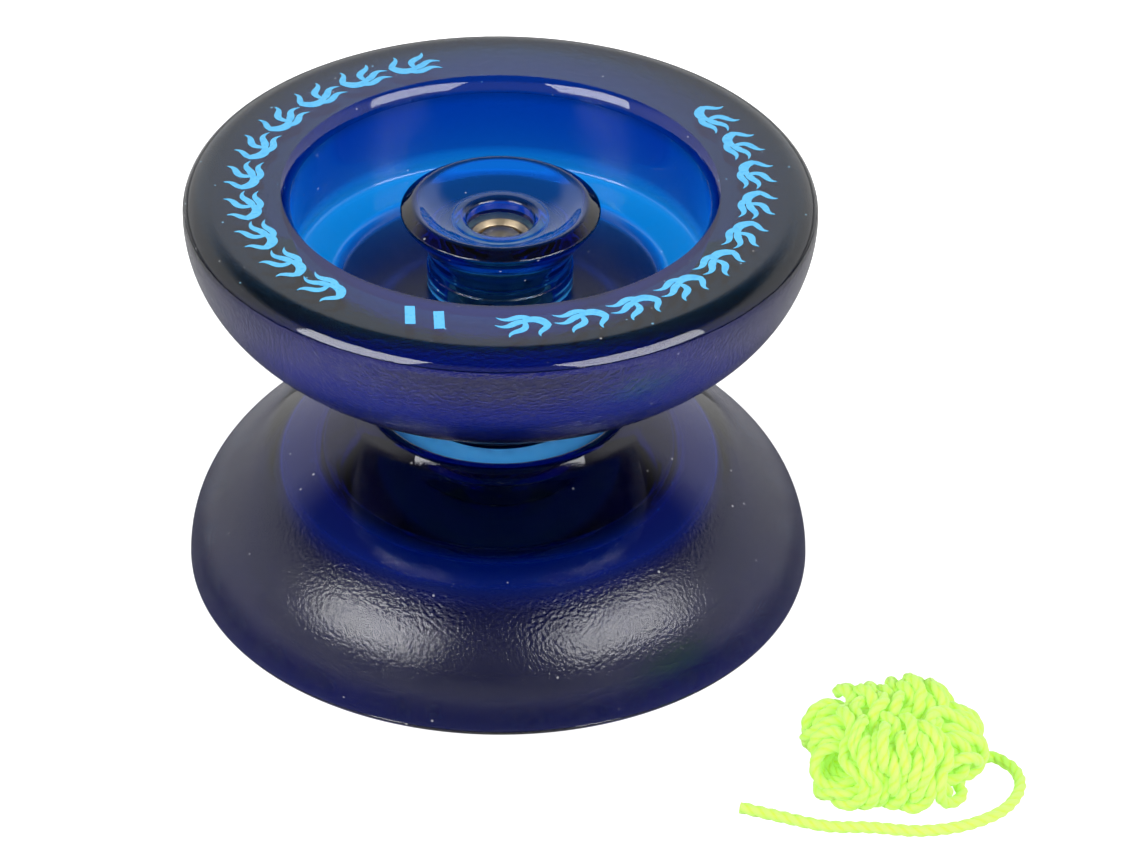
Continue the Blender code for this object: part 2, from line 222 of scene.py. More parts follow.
def mesh_from_grids(name, points, faces, crease=35.0):
    """A smooth mesh from an (n, 3) array of points in millimetres and arrays of corners. Edges that
    bend by more than crease degrees stay sharp."""
    mesh = bpy.data.meshes.new(name)
    mesh.from_pydata((points * MM).tolist(), [], [face for group in faces for face in group.tolist()])
    mesh.validate()
    mesh.shade_smooth()
    mesh.set_sharp_from_angle(angle=math.radians(crease))
    return mesh


def grid_quads(rows, columns, loop_rows=False):
    """Corners of a grid's squares. Each row closes on itself; with loop_rows, the last row joins the first."""
    i, j = np.meshgrid(np.arange(rows if loop_rows else rows - 1), np.arange(columns), indexing="ij")
    below, across = (i + 1) % rows, (j + 1) % columns
    corners = (i * columns + j, i * columns + across, below * columns + across, below * columns + j)
    return np.stack(corners, -1).reshape(-1, 4)


def tube_mesh(name, rings, poles, crease, flipped=False):
    """A tube of rings, an array (rows, columns, 3), whose first and last ring close on a pole each."""
    rows, columns = rings.shape[:2]
    j = np.arange(columns)
    across = (j + 1) % columns
    last = (rows - 1) * columns
    first_pole = rows * columns
    bottom = np.stack([np.full(columns, first_pole), across, j], -1)
    top = np.stack([np.full(columns, first_pole + 1), last + j, last + across], -1)
    faces = [grid_quads(rows, columns), bottom, top]
    if flipped:
        faces = [group[:, ::-1] for group in faces]
    return mesh_from_grids(name, np.concatenate([rings.reshape(-1, 3), poles]), faces, crease)


def angles(steps):
    """Angles spread evenly once round."""
    return np.arange(steps) * (2 * np.pi / steps)


def around(r, a, z):
    """The points (r cos a, r sin a, z)."""
    return np.stack(np.broadcast_arrays(r * np.cos(a), r * np.sin(a), z), -1)


def eased(corners, steps=7):
    """Rounds a closed outline: each corner (r, z, size) becomes a parabola between the two points that
    lie that size away from it along its sides, or nearly half a side where the side is shorter."""
    points = []
    for i, corner in enumerate(corners):
        here = np.array(corner[:2], float)
        if len(corner) < 3:
            points.append(here)
            continue
        ends = []
        for other in (corners[i - 1], corners[(i + 1) % len(corners)]):
            side = np.array(other[:2], float) - here
            reach = np.linalg.norm(side)
            ends.append(here + side / reach * min(corner[2], 0.48 * reach))
        t = np.linspace(0.0, 1.0, steps)[:, None]
        points.extend((1 - t) ** 2 * ends[0] + 2 * t * (1 - t) * here + t**2 * ends[1])
    return np.array(points)


def divided(outline, step):
    """Splits every side of a closed outline that is longer than step into equal shorter ones."""
    stretches = []
    for a, b in zip(outline, np.roll(outline, -1, axis=0)):
        cuts = max(1, math.ceil(np.linalg.norm(b - a) / step))
        stretches.append(a + (b - a) * (np.arange(cuts)[:, None] / cuts))
    return np.concatenate(stretches)


def runs_forward(outline):
    """Whether a closed outline runs anticlockwise, with the radius to the right and the height up."""
    following = np.roll(outline, -1, axis=0)
    return np.sum(outline[:, 0] * following[:, 1] - following[:, 0] * outline[:, 1]) > 0


def turned(name, outline, side=1.0, facets=96, step=0.6):
    """A turned piece: outline point i = (r, z) at the angle a = 2 pi j / facets is the point
    (r cos a, r sin a, middle + side z). The outline is run so that the faces point outwards."""
    outline = divided(np.array(outline, float), step)
    if runs_forward(outline) != (side > 0):
        outline = outline[::-1]
    points = around(outline[:, :1], angles(facets), MIDDLE_Z + side * outline[:, 1:])
    faces = [grid_quads(len(outline), facets, loop_rows=True)]
    return new_object(name, mesh_from_grids(name, points.reshape(-1, 3), faces))


def finished(piece, material, body, node):
    """Gives a piece its material, attaches it to its body and hides the CAD node it stands for."""
    piece.data.materials.append(material)
    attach(piece, body)
    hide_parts(node)


def turned_pair(name, node, outline, paint, facets, step, upper="upper_half", lower="lower_half"):
    """Turns a piece of the upper half, on the body upper, and its mirror image, on the body lower."""
    for (label, side), body in zip(HALVES.items(), (upper, lower)):
        piece = turned(f"{label}_{name}", outline, side, facets, step)
        finished(piece, paint, body, f"{label}_{node}")


def cubic(a, b, c, d, steps):
    """Points on the cubic curve from a to d that b and c pull at."""
    t = np.linspace(0.0, 1.0, steps)[:, None]
    a, b, c, d = (np.array(p, float) for p in (a, b, c, d))
    return (1 - t) ** 3 * a + 3 * t * (1 - t) ** 2 * b + 3 * t * t * (1 - t) * c + t**3 * d


def ellipse(centre, radii, start, end, steps):
    """Points on an ellipse between two angles in degrees."""
    a = np.radians(np.linspace(start, end, steps))
    return np.stack([centre[0] + radii[0] * np.cos(a), centre[1] + radii[1] * np.sin(a)], -1)


# --- Node tools and shared effects ---


def set_inputs(tree, node, inputs):
    """Gives each named input its plain value, or links it to the socket that feeds it."""
    for key, value in inputs.items():
        if isinstance(value, bpy.types.NodeSocket):
            tree.links.new(value, node.inputs[key])
        else:
            node.inputs[key].default_value = value


def add(tree, kind, inputs=None, **options):
    node = tree.nodes.new("ShaderNode" + kind)
    for key, value in options.items():
        setattr(node, key, value)
    set_inputs(tree, node, inputs or {})
    return node


def maths(tree, operation, a, b=0.0, clamp=False):
    return add(tree, "Math", {0: a, 1: b}, operation=operation, use_clamp=clamp).outputs[0]


def ramp(tree, value, low, high, to_low=0.0, to_high=1.0):
    """Follows value smoothly from to_low, at low, to to_high, at high."""
    inputs = {"Value": value, "From Min": low, "From Max": high, "To Min": to_low, "To Max": to_high}
    return add(tree, "MapRange", inputs, interpolation_type="SMOOTHSTEP").outputs["Result"]


def mixed(tree, factor, a, b, blend_type="MIX"):
    """Mixes b into a; each is a socket or a plain colour."""
    a, b = (c if isinstance(c, bpy.types.NodeSocket) else (*c, 1.0) for c in (a, b))
    node = add(tree, "Mix", {"Factor": factor, "A": a, "B": b}, data_type="RGBA", blend_type=blend_type)
    return node.outputs["Result"]


def object_point(tree):
    return add(tree, "TexCoord").outputs["Object"]


def scaled(tree, point, factors):
    return add(tree, "VectorMath", {0: point, 1: factors}, operation="MULTIPLY").outputs[0]


def noise(tree, point, scale, detail, distortion=0.0):
    inputs = {"Vector": point, "Scale": scale, "Detail": detail, "Distortion": distortion}
    return add(tree, "TexNoise", inputs).outputs[0]


def effect(tree, name, inputs=None):
    """Adds one of the shared effects and returns its outputs."""
    return add(tree, "Group", inputs, node_tree=bpy.data.node_groups[name]).outputs


def new_group(name, inputs, outputs):
    """A node group with float inputs, and outputs of the given kinds; returns its tree and end nodes."""
    tree = bpy.data.node_groups.new(name, "ShaderNodeTree")
    for label, value in inputs.items():
        socket = tree.interface.new_socket(label, in_out="INPUT", socket_type="NodeSocketFloat")
        socket.default_value = value
    for label, kind in outputs.items():
        tree.interface.new_socket(label, in_out="OUTPUT", socket_type="NodeSocket" + kind)
    return tree, tree.nodes.new("NodeGroupInput").outputs, tree.nodes.new("NodeGroupOutput")


def build_place_group():
    """Radius is the distance from the yo-yo's axis and Height the height above the floor, in metres."""
    tree, _, out = new_group("place_on_yoyo", {}, {"Radius": "Float", "Height": "Float"})
    point = object_point(tree)
    flat = scaled(tree, point, (1.0, 1.0, 0.0))
    radius = add(tree, "VectorMath", {0: flat}, operation="LENGTH").outputs["Value"]
    height = add(tree, "SeparateXYZ", {0: point}).outputs["Z"]
    set_inputs(tree, out, {"Radius": radius, "Height": height})


def build_zone_group():
    """Mask is one, with soft edges, where the distance from the axis lies between Inner and Outer and the
    height above the string gap's middle between Low and High, in metres."""
    inputs = {"Inner": 0.0, "Outer": 0.03, "Low": 0.0, "High": 0.02, "Edge": 0.0009}
    tree, given, out = new_group("turned_zone", inputs, {"Mask": "Float"})
    place = effect(tree, "place_on_yoyo")
    above = maths(tree, "SUBTRACT", place["Height"], MIDDLE_Z * MM)
    mask = 1.0
    for value, low, high in ((place["Radius"], "Inner", "Outer"), (above, "Low", "High")):
        for edge, sign in ((low, 1.0), (high, -1.0)):
            gap = maths(tree, "SUBTRACT", value, given[edge])
            depth = maths(tree, "DIVIDE", maths(tree, "MULTIPLY", gap, sign), given["Edge"], clamp=True)
            mask = maths(tree, "MULTIPLY", depth, mask)
    set_inputs(tree, out, {"Mask": mask})


def build_dust_group():
    """Glow is a painted glow: a grey emission colour on scattered specks of dust, which shine without being
    lit. The specks lie in cells of Size metres, of which Share hold a speck. A speck's radius is a part of its
    cell, drawn between smallest and largest."""
    smallest, largest = 0.04, 0.11
    inputs = {"Size": 0.0012, "Share": 0.1, "Brightness": 0.3}
    tree, given, out = new_group("glowing_dust_specks", inputs, {"Glow": "Color"})
    scale = maths(tree, "DIVIDE", 1.0, given["Size"])
    cells = add(tree, "TexVoronoi", {"Vector": object_point(tree), "Scale": scale}).outputs
    chance = add(tree, "SeparateColor", {0: cells["Color"]}).outputs
    near = maths(tree, "LESS_THAN", cells["Distance"], ramp(tree, chance[1], 0.0, 1.0, smallest, largest))
    chosen = maths(tree, "LESS_THAN", chance[0], given["Share"])
    glow = maths(tree, "MULTIPLY", maths(tree, "MULTIPLY", near, chosen), given["Brightness"])
    set_inputs(tree, out, {"Glow": add(tree, "CombineColor", {0: glow, 1: glow, 2: glow}).outputs[0]})


def build_handling_group():
    """Roughness is Base, with soft smears of Spread over the surface and hairline scuffs of Scuffs."""
    scuff_stretch = (260.0, 2600.0, 900.0)
    inputs = {"Base": 0.05, "Spread": 0.05, "Scuffs": 0.1}
    tree, given, out = new_group("handling_marks", inputs, {"Roughness": "Float"})
    point = object_point(tree)
    smear = ramp(tree, noise(tree, point, 120.0, 4.0, 0.8), 0.42, 0.72)
    scuff = ramp(tree, noise(tree, scaled(tree, point, scuff_stretch), 1.0, 1.0, 1.6), 0.68, 0.74)
    smears = maths(tree, "MULTIPLY", smear, given["Spread"])
    scuffs = maths(tree, "MULTIPLY", scuff, given["Scuffs"])
    total = maths(tree, "ADD", maths(tree, "ADD", given["Base"], smears), scuffs, clamp=True)
    set_inputs(tree, out, {"Roughness": total})


def build_lathe_group():
    """Height rises and falls in fine rings about the axis, Pitch metres apart, as a lathe leaves them."""
    tree, given, out = new_group("lathe_rings", {"Pitch": 0.00012}, {"Height": "Float"})
    place = effect(tree, "place_on_yoyo")
    along = maths(tree, "ADD", place["Radius"], place["Height"])
    inputs = {"W": maths(tree, "DIVIDE", along, given["Pitch"]), "Scale": 1.0}
    rings = add(tree, "TexNoise", inputs, noise_dimensions="1D")
    set_inputs(tree, out, {"Height": rings.outputs[0]})


# --- Materials ---

# Zones where the clear plastic has a painted glow, an emission that brightens it as scattered light would: the
# zone (inner and outer radius, lowest and highest above the string gap's middle) in metres, the colour of its
# painted glow and its added roughness.
SHELL_GLOW_ZONES = {
    "bowl floor": ((0.0140, 0.0188, 0.0103, 0.0132), (0.0, 0.19, 0.56), 0.2),
    "hub floor": ((0.0055, 0.0150, 0.0090, 0.0110), (0.0, 0.003, 0.01), 0.28),
    "bowl wall": ((0.0178, 0.0196, 0.0118, 0.0186), (0.0, 0.01, 0.12), 0.0),
    "lower outside": ((0.0205, 0.0300, -0.0200, -0.0030), (0.001, 0.002, 0.022), 0.0),
    "lower bowl floor": ((0.0140, 0.0188, -0.0132, -0.0103), (0.0, 0.05, 0.20), 0.2),
}
CAP_GLOW_ZONES = {"dish": ((0.0030, 0.0080, 0.0158, 0.0197), (0.0, 0.04, 0.17), 0.0)}


def start_material(name, base, roughness, metallic=0.0):
    material = bpy.data.materials.new(name)
    material.use_nodes = True
    tree = material.node_tree
    shader = tree.nodes["Principled BSDF"]
    set_inputs(tree, shader, {"Base Color": (*base, 1.0), "Roughness": roughness, "Metallic": metallic})
    return material, tree, shader


def bumps(tree, height, distance):
    """The normal of a surface whose height rises by distance, in metres."""
    return add(tree, "Bump", {"Height": height, "Distance": distance, "Strength": 1.0}).outputs["Normal"]


def clear_plastic(name, textured=False, glow_zones=None):
    """Blue plastic that is clear all through, with dust on it painted as glowing specks, and a painted glow in
    each given zone. With textured, it has a fine orange-peel beyond the flank: rougher, with bumps about 0.3 mm
    across."""
    plastic = settings("plastic")
    peel_start, peel_full, peel_scale, peel_height = 0.0198, 0.0232, 3000.0, 0.00006
    material, tree, shader = start_material(name, (1.0, 1.0, 1.0), plastic.polish)
    set_inputs(tree, shader, {"IOR": 1.5, "Transmission Weight": 1.0, "Emission Strength": 1.0})
    absorbed = {"Color": (*plastic.absorbed, 1.0), "Density": plastic.density}
    volume = add(tree, "VolumeAbsorption", absorbed).outputs["Volume"]
    set_inputs(tree, tree.nodes["Material Output"], {"Volume": volume})
    marks = {"Base": plastic.polish, "Spread": 0.02, "Scuffs": 0.02}
    roughness = effect(tree, "handling_marks", marks)["Roughness"]
    if textured:
        outside = ramp(tree, effect(tree, "place_on_yoyo")["Radius"], peel_start, peel_full)
        roughness = maths(tree, "ADD", roughness, maths(tree, "MULTIPLY", outside, plastic.texture))
        peel = maths(tree, "MULTIPLY", noise(tree, object_point(tree), peel_scale, 1.5), outside)
        set_inputs(tree, shader, {"Normal": bumps(tree, peel, peel_height)})
    # The dust specks are painted light: they glow as emission.
    glow = effect(tree, "glowing_dust_specks", {"Size": 0.0011, "Share": 0.14, "Brightness": 0.36})["Glow"]
    for (inner, outer, low, high), shade, frost in (glow_zones or {}).values():
        zone = {"Inner": inner, "Outer": outer, "Low": low, "High": high}
        mask = effect(tree, "turned_zone", zone)["Mask"]
        # Each zone adds its painted glow to the emission colour, and its frost to the roughness.
        glow = mixed(tree, 1.0, glow, mixed(tree, mask, (0.0, 0.0, 0.0), shade), "ADD")
        roughness = maths(tree, "ADD", roughness, maths(tree, "MULTIPLY", mask, frost))
    set_inputs(tree, shader, {"Emission Color": glow, "Roughness": roughness})
    return material


def print_ink():
    """Pad-printed ink: a slightly uneven film, thinner in patches, with a satin face."""
    ink = settings("print").ink
    thinned = (ink[0] * 0.5, ink[1] * 0.7, ink[2] * 0.85)
    material, tree, shader = start_material("print_ink", ink, 0.35)
    film = noise(tree, object_point(tree), 1800.0, 3.0)
    set_inputs(tree, shader, {
        "Base Color": mixed(tree, ramp(tree, film, 0.50, 0.78, 0.0, 0.55), ink, thinned),
        "Roughness": ramp(tree, film, 0.3, 0.7, 0.25, 0.5),
        "Normal": bumps(tree, film, 0.000006),
    })
    return material


def pad_silicone():
    """Matt silicone with a fine pimple texture, darker where string has rubbed its inner part."""
    base, rubbed = (0.05, 0.36, 0.76), (0.03, 0.23, 0.55)
    unrubbed_radius, rubbed_radius = 0.0093, 0.0076
    material, tree, shader = start_material("pad_silicone", base, 0.5)
    radius = effect(tree, "place_on_yoyo")["Radius"]
    grain = noise(tree, object_point(tree), 2200.0, 3.0)
    cloud = noise(tree, object_point(tree), 420.0, 2.0)
    ring = ramp(tree, radius, unrubbed_radius, rubbed_radius)
    worn = maths(tree, "MULTIPLY", ring, ramp(tree, cloud, 0.35, 0.7), clamp=True)
    set_inputs(tree, shader, {
        "Base Color": mixed(tree, worn, base, rubbed),
        "Roughness": ramp(tree, cloud, 0.3, 0.7, 0.42, 0.6),
        "Subsurface Weight": 0.15,
        "Subsurface Scale": 0.0006,
        "Normal": bumps(tree, grain, 0.000008),
    })
    return material


def turned_metal(name, bright, dull, roughness, pitch):
    """Lathe-turned metal: rings that pitch apart, and a duller tarnish that gathers in patches."""
    material, tree, shader = start_material(name, bright, roughness, 1.0)
    tarnish = ramp(tree, noise(tree, object_point(tree), 700.0, 5.0), 0.45, 0.75)
    marks = {"Base": roughness, "Spread": 0.12, "Scuffs": 0.15}
    rings = effect(tree, "lathe_rings", {"Pitch": pitch})["Height"]
    set_inputs(tree, shader, {
        "Base Color": mixed(tree, tarnish, bright, dull),
        "Roughness": effect(tree, "handling_marks", marks)["Roughness"],
        "Normal": bumps(tree, rings, 0.000004),
    })
    return material


def cage_nylon():
    """Moulded nylon, cream, with a faint mottled sheen."""
    base, deep = (0.70, 0.62, 0.44), (0.58, 0.48, 0.30)
    material, tree, shader = start_material("cage_nylon", base, 0.45)
    cloud = noise(tree, object_point(tree), 900.0, 3.0)
    set_inputs(tree, shader, {
        "Base Color": mixed(tree, cloud, base, deep),
        "Roughness": ramp(tree, cloud, 0.3, 0.7, 0.35, 0.55),
        "Subsurface Weight": 0.1,
        "Subsurface Scale": 0.0005,
    })
    return material


def string_yarn():
    """Fluorescent twisted yarn with a painted glow and painted shade: lighter on the plies, deeper and yellower
    in the grooves between them, with fine fibres that run along each ply."""
    dye = settings("string").dye
    deep, deep_glow, bright_glow = (0.38, 0.62, 0.03), (0.20, 0.32, 0.01), (0.22, 0.36, 0.06)
    fibre_stretch = (900.0, 46.0, 1.0)
    material, tree, shader = start_material("string_yarn", dye, 0.75)
    ply = add(tree, "Attribute", attribute_name="ply").outputs["Fac"]
    along = {"Vector": add(tree, "TexCoord").outputs["UV"], "Scale": fibre_stretch}
    fibres = noise(tree, add(tree, "Mapping", along).outputs[0], 1.0, 3.0)
    set_inputs(tree, shader, {
        # The grooves' colour deep is painted shade. The emission, deep_glow in the grooves and bright_glow on
        # the plies, is a painted glow.
        "Base Color": mixed(tree, ramp(tree, ply, 0.05, 0.75), deep, dye),
        "Emission Color": mixed(tree, ramp(tree, ply, 0.0, 0.8), deep_glow, bright_glow),
        "Emission Strength": 1.0,
        "Sheen Weight": 0.3,
        "Roughness": ramp(tree, fibres, 0.3, 0.7, 0.6, 0.9),
        "Normal": bumps(tree, fibres, 0.00009),
    })
    return material


# --- Mouldings ---


def crown_point(m, z):
    """Radius of the rim's rounded outer edge at the height z, on its quarter ellipse."""
    rise = MIDDLE_Z - m.widest_z
    return m.flat_rim + (RIM_RADIUS - m.flat_rim) * math.sqrt(1.0 - ((z - m.widest_z) / rise) ** 2)


def shoulder_centre(m):
    """Centre of the arc that runs from the bowl's mouth down into its wall. The mouth is 45 degrees up it."""
    reach = m.shoulder * math.sqrt(0.5)
    return m.bowl_mouth + reach, MIDDLE_Z - MOUTH_CHAMFER - reach


def shoulder_point(m, z):
    """Radius of the bowl's rounded shoulder at the height z."""
    r, middle = shoulder_centre(m)
    return r - math.sqrt(m.shoulder**2 - (z - middle) ** 2)


def shell_outline(m):
    """The shell's outline: bowl, rounded shoulder, flank, lip, then the seats for pad, bearing and nut."""
    slope = m.flank_slope
    flank_pull, rim_pull, flank_start = 6.75, 4.25, 13.1
    pad_outer, pad_inner, groove_z, collar_z = 10.8, 7.3, 3.35, 2.3
    recess_r, recess_z, seat_r, seat_z = 6.75, 2.9, 4.3, 4.5
    hole_r, pocket_r, pocket_z = 2.4, 5.0, 8.45
    flank = (m.flank_end, m.flank_end_z)
    pull = (flank[0] + flank_pull * math.cos(slope), flank[1] + flank_pull * math.sin(slope))
    outside = cubic((RIM_RADIUS, m.widest_z), (RIM_RADIUS, m.widest_z - rim_pull), pull, flank, 40)
    crown_z = (m.seam_z + m.widest_z) / 2
    bowl = [
        (pocket_r, m.hub_floor_z, 0.2), (m.hub_floor, m.hub_floor_z, 0.35),
        (m.hub_floor + 0.6, m.bowl_floor_z, 0.35), (m.bowl_floor, m.bowl_floor_z, 0.7),
        (shoulder_point(m, m.seam_z) - SINK, m.seam_z), (crown_point(m, m.seam_z), m.seam_z),
        (crown_point(m, crown_z), crown_z),
    ]
    gap_side = [
        (flank_start, flank[1] - (flank[0] - flank_start) * math.tan(slope), 0.5),
        (m.lip + 0.4, m.lip_z + 0.45, 0.4), (m.lip, m.lip_z, 0.3), (m.lip - 0.9, m.lip_z, 0.35),
        (pad_outer, m.lip_z + 0.55, 0.15), (pad_outer, groove_z, 0.05),
        (pad_inner, groove_z, 0.05), (pad_inner, collar_z, 0.1),
        (recess_r, collar_z, 0.1), (recess_r, recess_z, 0.1),
        (seat_r, recess_z, 0.05), (seat_r, seat_z, 0.05),
        (hole_r, seat_z, 0.05), (hole_r, pocket_z, 0.05), (pocket_r, pocket_z, 0.05),
    ]
    return eased(bowl + [tuple(point) for point in outside] + gap_side)


def rim_outline(m):
    """The glossy band on the shell's edge: quarter-ellipse crown outside, rounded shoulder at the bowl."""
    low = m.seam_z - SINK
    rise = MIDDLE_Z - m.widest_z
    start = math.degrees(math.asin((low + SEAM_GROOVE - m.widest_z) / rise))
    crown = ellipse((m.flat_rim, m.widest_z), (RIM_RADIUS - m.flat_rim, rise), start, 90.0, 28)
    centre = shoulder_centre(m)
    end = 180.0 - math.degrees(math.asin((low - centre[1]) / m.shoulder))
    shoulder = ellipse(centre, (m.shoulder, m.shoulder), 135.0, end, 12)
    groove = (crown_point(m, low) - SEAM_GROOVE, low)
    return np.concatenate([[groove], crown, [(m.bowl_mouth + MOUTH_CHAMFER, MIDDLE_Z)], shoulder])


def cap_outline():
    """A stem with two shallow steps, a flared cone, a rolled rim, a dish and the hole's raised ring."""
    return eased([
        (5.0, 10.4, 0.1), (6.5, 10.4, 0.2), (6.5, 12.3, 0.08), (6.36, 12.42, 0.08), (6.36, 13.6, 0.08),
        (6.5, 13.75, 0.08), (6.5, 14.4, 0.5), (8.7, 17.35, 0.25), (8.92, 17.85, 0.25), (7.75, 18.62, 0.25),
        (7.3, 18.5, 0.25), (6.1, 17.55, 0.9), (4.7, 17.05, 0.5), (4.3, 17.0, 0.15), (4.15, 17.12, 0.1),
        (3.45, 17.12, 0.15), (3.0, 16.8, 0.25), (3.0, 15.6, 0.1), (4.2, 15.6, 0.1), (4.2, 12.4, 0.1),
        (5.0, 12.4, 0.1),
    ])


class YOYO_OT_mouldings(bpy.types.Operator):
    """Turn the two clear body shells and their glossy rim bands"""

    bl_idname = "yoyo.mouldings"
    bl_label = "Body shells and rim bands"

    def execute(self, context):
        m = settings("moulding")
        shell_paint = clear_plastic("shell_plastic", True, SHELL_GLOW_ZONES)
        turned_pair("shell_moulding", "body_shell", shell_outline(m), shell_paint, m.facets, 0.5)
        rim_paint = clear_plastic("rim_plastic")
        turned_pair("rim_band", "rim_ring", rim_outline(m), rim_paint, m.facets, 0.6)
        return {"FINISHED"}


class YOYO_OT_caps(bpy.types.Operator):
    """Turn the flared hub caps"""

    bl_idname = "yoyo.caps"
    bl_label = "Hub caps"

    def execute(self, context):
        paint = clear_plastic("cap_plastic", glow_zones=CAP_GLOW_ZONES)
        turned_pair("cap_moulding", "hub_cap", cap_outline(), paint, 128, 0.4, "upper_cap", "lower_cap")
        return {"FINISHED"}


class YOYO_OT_pads(bpy.types.Operator):
    """Turn the silicone response pads"""

    bl_idname = "yoyo.pads"
    bl_label = "Response pads"

    def execute(self, context):
        outline = eased([(7.6, 2.5, 0.08), (7.6, 3.3), (10.5, 3.3), (10.5, 2.5, 0.2)])
        turned_pair("pad", "response_pad", outline, pad_silicone(), 128, 0.3)
        return {"FINISHED"}


# --- Rim prints ---

# Each tongue of a flame: the four points of its cubic middle line (across, out), in millimetres, and its
# half width. First the arched body, then three that sweep back from it and one at its root.
TONGUES = (
    (((2.1, 0.6), (1.5, -1.0), (0.2, -0.9), (-0.5, 0.2)), 0.44),
    (((0.8, -0.6), (-0.6, -1.9), (-1.0, 0.1), (-2.3, -1.0)), 0.31),
    (((0.3, -0.3), (-0.9, -0.7), (-1.1, 1.1), (-2.5, 0.2)), 0.31),
    (((0.1, -0.1), (0.4, 1.5), (-1.3, 0.8), (-1.4, 2.1)), 0.31),
    (((1.8, -0.2), (2.6, 1.0), (0.9, 1.0), (1.3, 2.1)), 0.29),
)
BARS_ANGLE = math.radians(254.0)


def ribbon(line, half, high):
    """A flat strip as a closed box section along a line: its two edges stand half a width from the line
    along its normal, from the rim's face up to high. Returns rings of four points (across, out, height)."""
    way = np.gradient(line, axis=0)
    way /= np.linalg.norm(way, axis=1, keepdims=True)
    normal = np.stack([-way[:, 1], way[:, 0]], -1)
    right, left = line - normal * half[:, None], line + normal * half[:, None]
    edges = ((left, 0.0), (right, 0.0), (right, high), (left, high))
    return np.stack([np.column_stack([edge, np.full(len(edge), height)]) for edge, height in edges], 1)


def flame_strips(high, steps=15):
    """One flame: each tongue swells from its root and falls to nothing at its tip, as its width
    * sin(pi (0.2 + 0.8 t)) ^ 0.8, and lies a little lower than the one before."""
    t = np.linspace(0.0, 1.0, steps)
    swell = np.sin(np.pi * np.clip(0.2 + 0.8 * t, 0.0, 1.0)) ** 0.8
    blunt, drop = 0.012, 0.03
    return [
        ribbon(cubic(*route, steps), width * swell + blunt, high * (1.0 - drop * i))
        for i, (route, width) in enumerate(TONGUES)
    ]


def bar_strips(high):
    """Two short slanted bars."""
    half, shift, lean, reach = 0.45, 1.3, 0.45, 1.3
    lines = [np.array([(x - lean, -reach), (x, 0.0), (x + lean, reach)]) for x in (-shift, shift)]
    return [ribbon(line, np.full(3, half), high) for line in lines]


def laid_round(strips, radius, centre_angle, side):
    """Wraps strips round the rim: (across, out, height) goes to the radius plus out, to the angle
    centre + across / that radius, and to the height above the flat face."""
    placed = []
    for rings in strips:
        r = radius + rings[..., 1]
        z = MIDDLE_Z + side * (MIDDLE_Z + rings[..., 2])
        placed.append(around(r, centre_angle + rings[..., 0] / r, z))
    return placed


def print_mesh(name, strips):
    """Joins closed strips into one mesh; each is a tube of four-point rings with a square end."""
    points, faces, start = [], [], 0
    for rings in strips:
        n = len(rings)
        ends = np.array([[3, 2, 1, 0], [4 * n - 4, 4 * n - 3, 4 * n - 2, 4 * n - 1]])
        points.append(rings.reshape(-1, 3))
        faces.append(np.concatenate([grid_quads(n, 4), ends]) + start)
        start += 4 * n
    return mesh_from_grids(name, np.concatenate(points), faces, crease=30.0)


class YOYO_OT_prints(bpy.types.Operator):
    """Print a row of flames on each side of both rims, with two plain bars between the rows"""

    bl_idname = "yoyo.prints"
    bl_label = "Rim prints"

    def execute(self, context):
        s = settings("print")
        paint = print_ink()
        for label, side in HALVES.items():
            strips = []
            for i in range(s.each_side):
                for place in (s.left_start + i * s.pitch, s.right_start - i * s.pitch):
                    strips += laid_round(flame_strips(s.thickness), s.radius, place, side)
            strips += laid_round(bar_strips(s.thickness), s.radius, BARS_ANGLE, side)
            if side < 0:
                strips = [rings[:, ::-1] for rings in strips]
            piece = new_object(f"{label}_rim_print", print_mesh(f"{label}_rim_print", strips))
            piece.data.materials.append(paint)
            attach(piece, f"{label}_half")
        return {"FINISHED"}


# --- Metal parts ---


class YOYO_OT_nuts(bpy.types.Operator):
    """Turn the brass axle nuts"""

    bl_idname = "yoyo.nuts"
    bl_label = "Axle nuts"

    def execute(self, context):
        s = settings("metal")
        hole, flange_top = s.axle + 0.1, 10.0
        groove_z, groove_depth = (s.nut_bottom + s.nut_top) / 2, 0.2
        outline = eased([
            (hole, s.nut_bottom, 0.1), (s.nut_flange, s.nut_bottom, 0.12),
            (s.nut_flange, flange_top, 0.12), (s.nut, flange_top, 0.1),
            (s.nut, groove_z - 0.35, 0.06), (s.nut - groove_depth, groove_z - 0.2, 0.06),
            (s.nut - groove_depth, groove_z + 0.2, 0.06), (s.nut, groove_z + 0.35, 0.06),
            (s.nut, s.nut_top, 0.3), (hole + 0.45, s.nut_top, 0.05), (hole, s.nut_top - 0.4, 0.05),
        ])
        paint = turned_metal("nut_brass", (0.62, 0.50, 0.34), (0.34, 0.29, 0.22), 0.38, 0.00010)
        turned_pair("nut", "axle_nut", outline, paint, 96, 0.5)
        return {"FINISHED"}


def thread_points(s, facets, rows_per_pitch):
    """The axle's skin at height z and angle a has the radius outer - depth * wave(f), where f is the
    fraction of z / pitch - a / 2 pi and the wave is a rounded V. It fades out at the chamfered ends."""
    half, steepness, chamfer = s.axle_end, 3.2, 0.35
    z = np.linspace(-half, half, int(2 * half / s.pitch * rows_per_pitch))[:, None]
    a = angles(facets)[None, :]
    phase = np.mod(z / s.pitch - a / (2 * np.pi), 1.0)
    valley = np.clip(1.25 - np.abs(phase - 0.5) * steepness, 0.0, 1.0)
    valley = valley * valley * (3.0 - 2.0 * valley)
    cone = s.axle - chamfer + np.clip(half - np.abs(z), 0.0, chamfer)
    return around(np.minimum(s.axle - s.depth * valley, cone), a, MIDDLE_Z + z)


